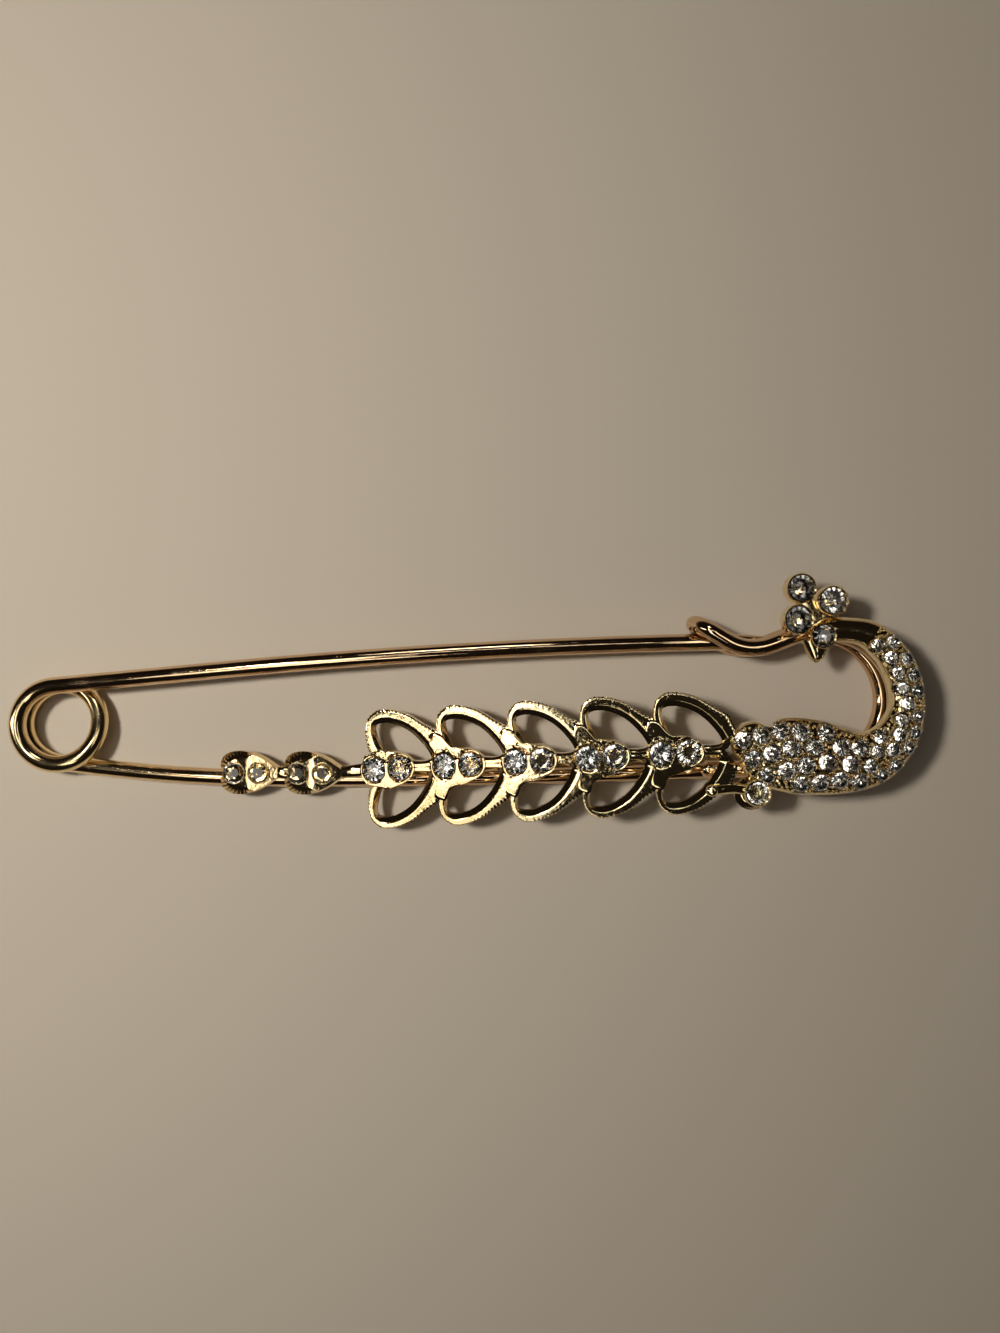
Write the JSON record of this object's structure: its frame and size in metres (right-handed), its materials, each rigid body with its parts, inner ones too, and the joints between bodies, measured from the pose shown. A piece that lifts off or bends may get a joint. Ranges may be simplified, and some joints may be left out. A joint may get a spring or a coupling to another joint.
{
  "type": "safety pin brooch",
  "caption": "Large safety pin of gold-coloured wire with an openwork peacock set with clear stones; the pin arm hinges at its coil.",
  "frame": {"origin": "on the coil's axis, in the plane that the pin's back lies on", "axes": "+X from the coil to the round curve at the head, +Y from the lower arm to the pin arm, +Z from the back to the ornament's front"},
  "size_m": [0.0789, 0.022, 0.0071],
  "materials": {
    "gold_wire": "polished, gold-plated steel wire",
    "gold_casting": "polished, gold-plated zinc alloy casting",
    "clear_stone": "faceted clear glass, foiled behind"
  },
  "bodies": {
    "frame": {"frame_wire": "gold_wire", "peacock": "gold_casting", "heart_stone_1": "clear_stone", "heart_stone_2": "clear_stone", "heart_stone_3": "clear_stone", "heart_stone_4": "clear_stone", "tail_stone_1": "clear_stone", "tail_stone_2": "clear_stone", "tail_stone_3": "clear_stone", "tail_stone_4": "clear_stone", "tail_stone_5": "clear_stone", "tail_stone_6": "clear_stone", "tail_stone_7": "clear_stone", "tail_stone_8": "clear_stone", "tail_stone_9": "clear_stone", "tail_stone_10": "clear_stone", "foot_stone": "clear_stone", "eye_stone": "clear_stone", "crest_stone_1": "clear_stone", "crest_stone_2": "clear_stone", "crest_stone_3": "clear_stone", "pave_stones": "clear_stone"},
    "pin": {"pin_arm": "gold_wire"}
  },
  "joints": [
    {"name": "pin_swing", "type": "hinge", "parent": "frame", "child": "pin", "pos_m": [0, 0, 0.00237], "axis": [0, 0, 1], "range_deg": [-4, 0], "stiffness_Nm_per_rad": 0.02, "springref_deg": 11.46}
  ]
}
